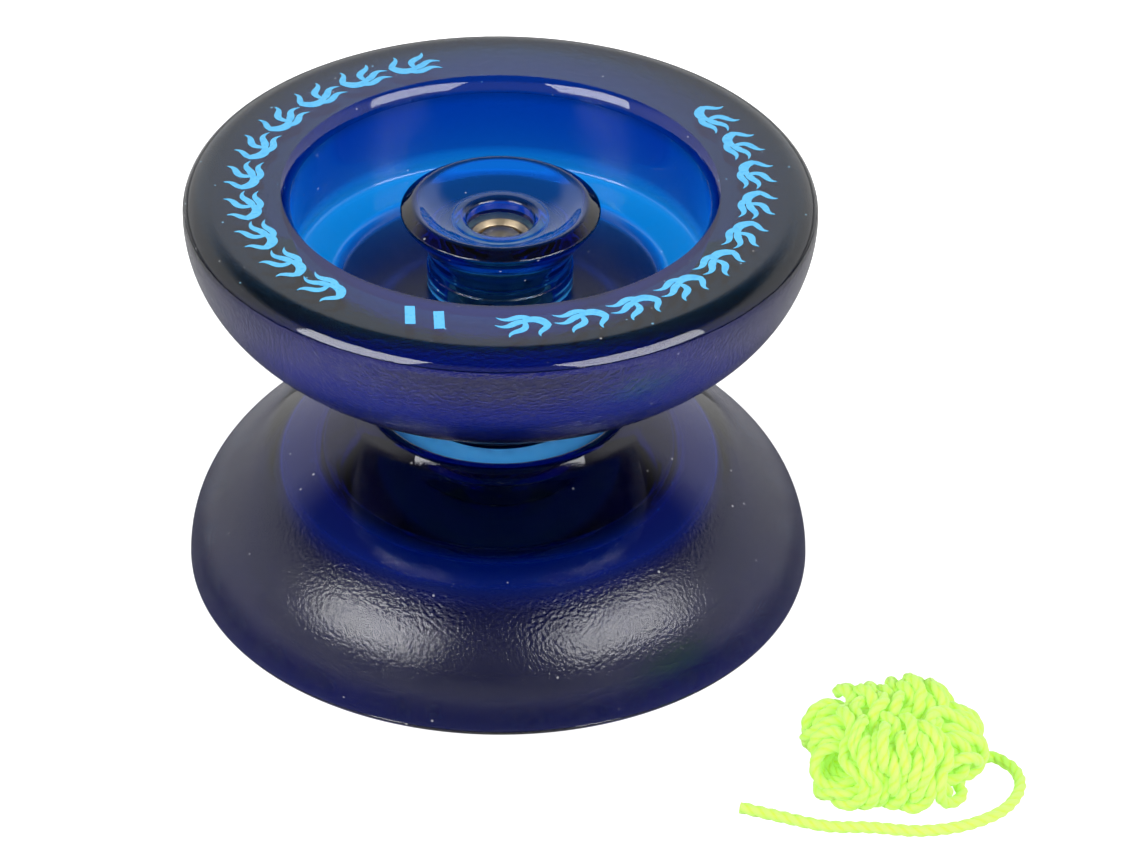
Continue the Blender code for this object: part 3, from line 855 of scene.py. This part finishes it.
class YOYO_OT_axle(bpy.types.Operator):
    """Cut the axle's real thread, with a centre mark in each end"""

    bl_idname = "yoyo.axle"
    bl_label = "Threaded axle"

    def execute(self, context):
        s = settings("metal")
        facets = 48
        # The centre mark's mouth and the edge of its floor, as (radius, depth), and its deepest point.
        mouth, floor, bottom = (0.55, 0.0), (0.2, 0.35), 0.42
        a = angles(facets)
        lower, upper = (
            [around(r, a, MIDDLE_Z + side * (s.axle_end - depth))[None] for r, depth in (mouth, floor)]
            for side in (-1.0, 1.0)
        )
        rings = np.concatenate([*lower[::-1], thread_points(s, facets, 10), *upper])
        tip = s.axle_end - bottom
        poles = np.array([(0.0, 0.0, MIDDLE_Z - tip), (0.0, 0.0, MIDDLE_Z + tip)])
        axle = new_object("axle_stud", tube_mesh("axle_stud", rings, poles, 50.0))
        paint = turned_metal("axle_steel", (0.60, 0.54, 0.45), (0.36, 0.33, 0.29), 0.42, 0.00014)
        finished(axle, paint, "lower_half", "axle")
        return {"FINISHED"}


class YOYO_OT_spacers(bpy.types.Operator):
    """Turn the flanged bearing spacers"""

    bl_idname = "yoyo.spacers"
    bl_label = "Bearing spacers"

    def execute(self, context):
        hole = settings("metal").axle + 0.2
        post = settings("bearing").bore - 0.15
        end_z, flange_z, flange_top, flange = 0.2, 2.58, 4.4, 4.0
        outline = eased([
            (hole, end_z, 0.05), (post, end_z, 0.2), (post, flange_z, 0.03),
            (flange, flange_z, 0.08), (flange, flange_top, 0.12), (hole, flange_top, 0.1),
        ])
        paint = turned_metal("spacer_aluminium", (0.80, 0.81, 0.83), (0.55, 0.56, 0.58), 0.3, 0.00010)
        turned_pair("spacer", "bearing_spacer", outline, paint, 96, 0.4, "upper_spacer", "lower_half")
        return {"FINISHED"}


# --- Bearing ---


def race_outlines(s):
    """The two races' outlines; each groove is an arc about the balls' centre, a little larger."""
    middle = (s.bore + s.outside) / 2
    arc, half = s.ball + s.play, s.half
    inner_shoulder, outer_shoulder, seat, step_z = 4.1, 5.35, 5.75, 1.65
    swing = math.degrees(math.acos((middle - inner_shoulder) / arc))
    inner_groove = ellipse((middle, 0.0), (arc, arc), 180.0 + swing, 180.0 - swing, 15)
    swing = math.degrees(math.acos((outer_shoulder - middle) / arc))
    outer_groove = ellipse((middle, 0.0), (arc, arc), -swing, swing, 15)
    inner = [
        (inner_shoulder, half, 0.1), (s.bore, half, 0.2), (s.bore, -half, 0.2), (inner_shoulder, -half, 0.1),
    ]
    top = [(outer_shoulder, step_z, 0.05), (seat, step_z, 0.05), (seat, half, 0.08), (s.outside, half, 0.22)]
    bottom = [(r, -z, size) for r, z, size in reversed(top)]
    return (
        eased(inner + [tuple(point) for point in inner_groove]),
        eased(top + bottom + [tuple(point) for point in outer_groove]),
    )


def clip_mesh(name, side, facets=96, section=10):
    """An open wire ring: a round section carried round the axis for all but the opening, in degrees."""
    ring_r, wire, ring_z, opening = 5.5, 0.12, 2.12, 28.0
    a = np.radians(np.linspace(opening / 2, 360.0 - opening / 2, facets))[:, None]
    b = angles(section)[None, :] * side
    rings = around(ring_r + wire * np.cos(b), a, MIDDLE_Z + side * ring_z + wire * np.sin(b))
    return tube_mesh(name, rings, rings[[0, -1]].mean(axis=1), 50.0, flipped=side > 0)


def cage_mesh(s, facets=480):
    """A crown cage: a rectangular section carried round the axis, whose top follows each ball's pocket,
    z = -sqrt(pocket^2 - x^2) with x the distance round the pitch circle, and stands up between them."""
    inner, outer, low, tooth, bevel = 4.42, 5.08, -1.6, 0.7, 0.08
    pocket = s.ball + 0.09
    pitch_r = (s.bore + s.outside) / 2
    step = 2 * np.pi / s.balls
    a = angles(facets)
    x = pitch_r * (np.mod(a + step / 2, step) - step / 2)
    bowl = -np.sqrt(np.clip(pocket**2 - x**2, 0.0, None))
    top = np.where(np.abs(x) < pocket, bowl, tooth)
    # The section's corners, as (radius, height, whether the height counts from the top).
    corners = (
        (inner + bevel, low, 0.0), (outer - bevel, low, 0.0), (outer, low + bevel, 0.0), (outer, -bevel, 1.0),
        (outer - bevel, 0.0, 1.0), (inner + bevel, 0.0, 1.0), (inner, -bevel, 1.0), (inner, low + bevel, 0.0),
    )
    rows = np.stack([around(r, a, MIDDLE_Z + z + on_top * top) for r, z, on_top in corners], 1)
    quads = grid_quads(facets, len(corners), loop_rows=True)[:, ::-1]
    return mesh_from_grids("ball_cage", rows.reshape(-1, 3), [quads], crease=40.0)


def ball_mesh(name, centre, radius, rows=17, columns=32):
    """A sphere: (r sin p cos a, r sin p sin a, -r cos p) about its centre, closed by a pole at each end."""
    p = np.linspace(0.0, np.pi, rows + 2)[1:-1, None]
    skin = around(np.sin(p), angles(columns)[None, :], -np.cos(p))
    poles = np.array([(0.0, 0.0, -1.0), (0.0, 0.0, 1.0)])
    return tube_mesh(name, centre + radius * skin, centre + radius * poles, 60.0)


class YOYO_OT_bearing(bpy.types.Operator):
    """Build the ball bearing: races, balls, cage, shields and their clips"""

    bl_idname = "yoyo.bearing"
    bl_label = "Ball bearing"

    def execute(self, context):
        s = settings("bearing")
        steel = turned_metal("bearing_steel", (0.62, 0.62, 0.63), (0.45, 0.45, 0.46), 0.12, 0.00006)
        dark_steel = turned_metal("shield_steel", (0.55, 0.55, 0.57), (0.40, 0.40, 0.42), 0.32, 0.00008)
        inner, outer = race_outlines(s)
        finished(turned("inner_race", inner, 1.0, 128, 0.3), steel, "lower_half", "bearing_inner_race")
        finished(turned("outer_race", outer, 1.0, 160, 0.3), steel, "bearing_outer", "bearing_outer_race")
        shield = eased([
            (4.35, 1.78, 0.04), (4.7, 1.78, 0.1), (4.85, 1.74, 0.1), (5.65, 1.74, 0.03),
            (5.65, 1.88, 0.03), (4.8, 1.88, 0.1), (4.65, 1.92, 0.1), (4.35, 1.92, 0.04),
        ])
        turned_pair("shield", "bearing_shield", shield, dark_steel, 128, 0.25, "bearing_outer", "bearing_outer")
        for label, side in HALVES.items():
            clip = new_object(f"{label}_clip_wire", clip_mesh(f"{label}_clip_wire", side))
            finished(clip, steel, "bearing_outer", f"{label}_shield_clip")
        finished(new_object("ball_cage", cage_mesh(s)), cage_nylon(), "bearing_balls", "bearing_cage")
        pitch_r = (s.bore + s.outside) / 2
        for i, a in enumerate(angles(s.balls)):
            mesh = ball_mesh(f"ball_{i + 1}", around(pitch_r, a, MIDDLE_Z), s.ball)
            finished(new_object(f"ball_{i + 1}", mesh), steel, "bearing_balls", f"bearing_ball_{i + 1}")
        return {"FINISHED"}


# --- String ---

# The tail's route on the floor in metres, from beside the hank to the cut end.
TAIL_ROUTE = (
    (0.04395, -0.0296), (0.0456, -0.0314), (0.0459, -0.0342), (0.0443, -0.0373), (0.0410, -0.0395),
    (0.0370, -0.0404), (0.0328, -0.0400), (0.0290, -0.0399), (0.0252, -0.0387), (0.0216, -0.0374),
)
# How many points the string is settled with, for how many rounds, and how many its mesh has.
STRING_POINTS, STRING_ROUNDS, STRING_RINGS = 1001, 260, 3000


def smooth_line(route, steps):
    """Points on the smooth (Catmull-Rom) curve through a route, whose ends are carried straight on."""
    p = np.concatenate([[2 * route[0] - route[1]], route, [2 * route[-1] - route[-2]]])
    a, b, c, d = p[:-3, None], p[1:-2, None], p[2:-1, None], p[3:, None]
    t = (np.arange(steps) / steps)[None, :, None]
    curve = b + ((c - a) * t + (2 * a - 5 * b + 4 * c - d) * t**2 + (3 * b - a - 3 * c + d) * t**3) / 2
    return np.concatenate([curve.reshape(-1, route.shape[1]), route[-1:]])


def lengths_along(line):
    """The distance from a line's start to each of its points."""
    return np.concatenate([[0.0], np.cumsum(np.linalg.norm(np.diff(line, axis=0), axis=1))])


def spaced(line, number):
    """Points spread evenly by length along a line."""
    along = lengths_along(line)
    places = np.linspace(0.0, along[-1], number)
    return np.stack([np.interp(places, along, line[:, k]) for k in range(line.shape[1])], -1)


def wound_line(centre, half):
    """The hank before it settles: long loops laid along x that grow layer by layer, then wraps round
    their middle that creep along x, each a little larger than what it goes round."""
    loops, wraps, loop_points, wrap_points = 13.0, 12.0, 700, 500
    t = np.linspace(0.0, loops, loop_points)
    a = 2 * np.pi * t
    grow = 0.42 + 0.5 * t / loops
    x = half[0] * 0.93 * grow**0.35 * np.cos(a)
    y = half[1] * 0.55 * np.sin(1.7 * a / loops * 2.0) * grow + 0.5 * np.sin(a * 0.37)
    long_loops = np.stack([x, y, half[2] * grow * np.sin(a)], -1)
    t = np.linspace(0.0, wraps, wrap_points)
    a = 2 * np.pi * t + 0.5 * np.pi
    x = half[0] * 0.55 * np.cos(np.pi * t / wraps * 1.9) + 0.9 * np.sin(a * 0.5)
    wrap = np.stack([x, half[1] * 1.02 * np.cos(a), half[2] * 1.05 * np.sin(a)], -1)
    return np.concatenate([long_loops, wrap]) + centre


def close_pairs(points, reach, skip):
    """Index pairs of points nearer than reach that are more than skip apart along the line."""
    squares = np.sum(points**2, axis=1)
    apart = squares[:, None] + squares[None, :] - 2.0 * points @ points.T
    return np.nonzero(np.triu(apart < reach * reach, skip + 1))


def push(points, i, j, wanted, part, only_apart):
    """Closes a part of the gap between each pair's distance and the wanted one; with only_apart, it
    moves only the pairs that are nearer than that."""
    way = points[j] - points[i]
    gap = np.maximum(np.linalg.norm(way, axis=1), 1e-6)
    error = np.minimum(gap - wanted, 0.0) if only_apart else gap - wanted
    move = way * (0.5 * part * error / gap)[:, None]
    np.add.at(points, i, move)
    np.add.at(points, j, -move)


def inside_hank(points, low, high):
    """Pulls points into the box from low to high, and into its oval with |x|^3 + |y|^3 + z^3 = 1, where z
    counts above the middle only."""
    points = np.clip(points, low, high)
    middle, half = (low + high) / 2, (high - low) / 2
    place = (points - middle) / half
    out = np.abs(place[:, 0]) ** 3 + np.abs(place[:, 1]) ** 3 + np.maximum(place[:, 2], 0.0) ** 3
    scale = np.maximum(out, 1.0) ** (-1.0 / 3.0)
    return middle + (points - middle) * scale[:, None]


def settled(line, fixed, diameter, whole, low, high):
    """Relaxes a string until it lies at its real length without passing through itself: neighbours keep
    their spacing, bends stay open, other stretches stay a diameter apart, and all of it sinks gently on
    to the floor inside the box from low to high. The last fixed points stay where they are."""
    fall, gather, look_again, look_reach = 0.012, 0.0015, 8, 1.7 * diameter
    points = line.copy()
    number = len(points)
    spacing = whole / (number - 1)
    index = np.arange(number)
    held = points[number - fixed:].copy()
    free = number - fixed
    bend = 2.1 * diameter
    chords = [(n, 2 * bend * math.sin(n * spacing / 2 / bend)) for n in (2, 3, 4)]
    middle = (low + high) / 2
    for turn in range(STRING_ROUNDS):
        if turn % look_again == 0:
            near = close_pairs(points, look_reach, 4)
        points[:free, 2] -= fall
        points[:free] += (middle - points[:free]) * gather
        for _ in range(2):
            push(points, *near, diameter, 0.5, True)
            for n, chord in chords:
                push(points, index[:-n], index[n:], chord, 0.35, True)
            for first in (0, 1):
                push(points, index[first:-1:2], index[first + 1::2], spacing, 0.9, False)
        points[:free] = inside_hank(points[:free], low, high)
        points[free:] = held
    return points


def carried_frames(line):
    """Two unit normals at each point of a line that turn with it but never twist about it."""
    way = np.gradient(line, axis=0)
    way /= np.linalg.norm(way, axis=1, keepdims=True)
    normal = np.empty_like(way)
    start = np.cross(way[0], (0.0, 0.0, 1.0))
    normal[0] = start / np.linalg.norm(start)
    for i in range(1, len(line)):
        carried = normal[i - 1] - way[i] * np.dot(normal[i - 1], way[i])
        normal[i] = carried / np.linalg.norm(carried)
    return normal, np.cross(way, normal)


def yarn_mesh(name, line, s, section=18):
    """Twisted plies carried along a line: at the angle b of the section and the length u, the radius is
    the string's times crest, less a groove * (1 - |cos(plies (b - 2 pi u / lay) / 2)|) of it. The
    attribute ply holds that cosine, and the UV map the length in metres and the turn about the ply."""
    crest, groove = 1.06, 0.3
    u = lengths_along(line)[:, None]
    b = angles(section)[None, :]
    ply = np.abs(np.cos(s.plies * (b - 2 * np.pi * u / s.lay) / 2))
    radius = s.diameter / 2 * (crest - groove * (1.0 - ply))
    normal, other = carried_frames(line)
    ring = normal[:, None] * np.cos(b)[..., None] + other[:, None] * np.sin(b)[..., None]
    mesh = tube_mesh(name, line[:, None] + ring * radius[..., None], line[[0, -1]], 80.0)
    shade = mesh.attributes.new("ply", "FLOAT", "POINT")
    shade.data.foreach_set("value", np.append(ply.ravel(), (0.5, 0.5)).astype(np.float32))
    corner_vertex = np.empty(len(mesh.loops), np.int32)
    mesh.loops.foreach_get("vertex_index", corner_vertex)
    along = np.append(np.broadcast_to(u, ply.shape).ravel(), (u[0, 0], u[-1, 0])) * MM
    turn = np.append((b / (2 * np.pi) - u / s.lay).ravel(), (0.0, 0.0))
    layer = mesh.uv_layers.new(name="along_string")
    layer.data.foreach_set("uv", np.stack([along, turn], -1)[corner_vertex].astype(np.float32).ravel())
    return mesh


class YOYO_OT_string(bpy.types.Operator):
    """Wind the loose string into its hank, with its tail lying on the floor"""

    bl_idname = "yoyo.string"
    bl_label = "String"

    def execute(self, context):
        s = settings("string")
        margin = s.diameter / 2
        low, high = (np.array(corner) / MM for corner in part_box("string_hank"))
        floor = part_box("string_tail")[0].z / MM + margin
        tail = smooth_line(np.array([(x / MM, y / MM, floor) for x, y in TAIL_ROUTE]), 8)
        tail_points = round(lengths_along(tail)[-1] / (s.length / (STRING_POINTS - 1))) + 1
        wound = wound_line((low + high) / 2, (high - low) / 2 - margin)
        line = np.concatenate([spaced(wound, STRING_POINTS - tail_points), spaced(tail, tail_points)])
        line = settled(line, tail_points, s.diameter, s.length, low + margin, high - margin)
        fine = spaced(smooth_line(line, 4), STRING_RINGS)
        piece = new_object("string", yarn_mesh("string", fine, s))
        piece.data.materials.append(string_yarn())
        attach(piece, "lower_half")
        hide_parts("string_hank", "string_tail")
        return {"FINISHED"}


# --- Stage ---

WHITE = (1.0, 1.0, 1.0, 1.0)
# Each softbox: its azimuth from the front and its elevation in degrees, then its width and height.
SOFTBOXES = {"softbox_left": (-50.0, 31.0, 0.30, 0.22), "softbox_right": (50.0, 32.0, 0.34, 0.23)}


def add_camera(s):
    """Looks down at the yo-yo from in front, a little rolled."""
    flat = Vector((1.0, 0.0, 0.0))
    up = Vector((0.0, math.sin(s.elevation), math.cos(s.elevation)))
    back = Vector((0.0, -math.cos(s.elevation), math.sin(s.elevation)))
    right = math.cos(s.roll) * flat - math.sin(s.roll) * up
    top = math.sin(s.roll) * flat + math.cos(s.roll) * up
    place = Vector((0.0, 0.0, MIDDLE_Z)) - s.side_shift * right - s.rise * top + s.distance * back
    data = bpy.data.cameras.new("camera")
    data.lens = s.lens
    data.sensor_width = 36.0
    data.clip_start, data.clip_end = 0.01, 20.0
    camera = new_object("camera", data)
    turn = Matrix((right, top, back)).transposed().to_4x4()
    camera.matrix_world = Matrix.Translation(place * MM) @ turn
    bpy.context.scene.camera = camera


def add_softbox(name, s, azimuth, elevation, width, height):
    """A rectangular soft light that faces the yo-yo and isn't seen through its plastic."""
    a, e = math.radians(azimuth), math.radians(elevation)
    away = Vector((math.sin(a) * math.cos(e), -math.cos(a) * math.cos(e), math.sin(e)))
    data = bpy.data.lights.new(name, "AREA")
    data.shape = "RECTANGLE"
    data.size, data.size_y = width, height
    data.energy = s.power
    lamp = new_object(name, data)
    lamp.visible_transmission = False
    lamp.location = (Vector((0.0, 0.0, MIDDLE_Z)) + away * s.softbox) * MM
    lamp.rotation_euler = away.to_track_quat("Z", "Y").to_euler()


def add_room():
    """A room that the camera sees as white. It lights the yo-yo from round the horizon, most of all from
    behind, and is dim overhead."""
    world = bpy.data.worlds.new("studio")
    bpy.context.scene.world = world
    world.use_nodes = True
    tree = world.node_tree
    way = add(tree, "SeparateXYZ", {0: add(tree, "TexCoord").outputs["Generated"]}).outputs
    horizon = ramp(tree, way["Z"], 0.50, 0.72, 1.0, 0.08)
    glow = maths(tree, "MULTIPLY", horizon, ramp(tree, way["Y"], -0.95, 0.2, 0.35, 1.0))
    seen = maths(tree, "MAXIMUM", glow, add(tree, "LightPath").outputs["Is Camera Ray"])
    set_inputs(tree, tree.nodes["Background"], {"Strength": seen, "Color": WHITE})


def add_floor():
    """A floor that the camera sees as white and the yo-yo as grey, with a painted shadow that darkens it close
    round the yo-yo.
    Through the plastic it has a painted glow, a little brighter away from the yo-yo."""
    size, level = 3.0, -0.0001
    mesh = bpy.data.meshes.new("floor")
    corners = [(-size, -size, level), (size, -size, level), (size, size, level), (-size, size, level)]
    mesh.from_pydata(corners, [], [(0, 1, 2, 3)])
    material, tree, shader = start_material("floor", (0.25, 0.25, 0.25), 1.0)
    distance = effect(tree, "place_on_yoyo")["Radius"]
    path = add(tree, "LightPath").outputs
    # Transmission rays see a painted glow that grows away from the yo-yo; the base colour's ramp is a painted
    # shadow close round it.
    through = maths(tree, "MULTIPLY", path["Is Transmission Ray"], ramp(tree, distance, 0.028, 0.045, 0.0, 0.2))
    set_inputs(tree, shader, {
        "Base Color": ramp(tree, distance, 0.034, 0.060, 0.22, 0.75),
        "Specular IOR Level": 0.0,
        "Emission Color": WHITE,
        "Emission Strength": maths(tree, "ADD", path["Is Camera Ray"], through),
    })
    mesh.materials.append(material)
    new_object("floor", mesh)


class YOYO_OT_stage(bpy.types.Operator):
    """Set up the camera, the floor and the studio light"""

    bl_idname = "yoyo.stage"
    bl_label = "Stage"

    def execute(self, context):
        s = settings("stage")
        add_camera(s)
        add_room()
        add_floor()
        for name, (azimuth, elevation, width, height) in SOFTBOXES.items():
            add_softbox(name, s, azimuth, elevation, width, height)
        context.scene.view_settings.view_transform = "Standard"
        return {"FINISHED"}


# --- Panel and registration ---

OPERATORS = (
    YOYO_OT_stage,
    YOYO_OT_string,
    YOYO_OT_mouldings,
    YOYO_OT_prints,
    YOYO_OT_caps,
    YOYO_OT_pads,
    YOYO_OT_nuts,
    YOYO_OT_axle,
    YOYO_OT_spacers,
    YOYO_OT_bearing,
)


class YOYO_PT_pieces(bpy.types.Panel):
    """Lists the yo-yo's operators and settings"""

    bl_idname = "YOYO_PT_pieces"
    bl_label = "Yo-yo"
    bl_space_type = "VIEW_3D"
    bl_region_type = "UI"
    bl_category = "Yo-yo"

    def draw(self, context):
        for operator in OPERATORS:
            self.layout.operator(operator.bl_idname)
        for name, group in GROUPS.items():
            box = self.layout.box()
            box.label(text=name.capitalize())
            for key in group.__annotations__:
                box.prop(getattr(context.scene.yoyo, name), key)


CLASSES = (*GROUPS.values(), YOYO_PG_settings, *OPERATORS, YOYO_PT_pieces)


def register():
    for each in CLASSES:
        bpy.utils.register_class(each)
    bpy.types.Scene.yoyo = PointerProperty(type=YOYO_PG_settings)


def unregister():
    del bpy.types.Scene.yoyo
    for each in reversed(CLASSES):
        bpy.utils.unregister_class(each)


def main():
    register()
    build_place_group()
    build_zone_group()
    build_dust_group()
    build_handling_group()
    build_lathe_group()
    bpy.ops.yoyo.stage()
    bpy.ops.yoyo.string()
    bpy.ops.yoyo.mouldings()
    bpy.ops.yoyo.prints()
    bpy.ops.yoyo.caps()
    bpy.ops.yoyo.pads()
    bpy.ops.yoyo.nuts()
    bpy.ops.yoyo.axle()
    bpy.ops.yoyo.spacers()
    bpy.ops.yoyo.bearing()


if __name__ == "__main__":
    main()
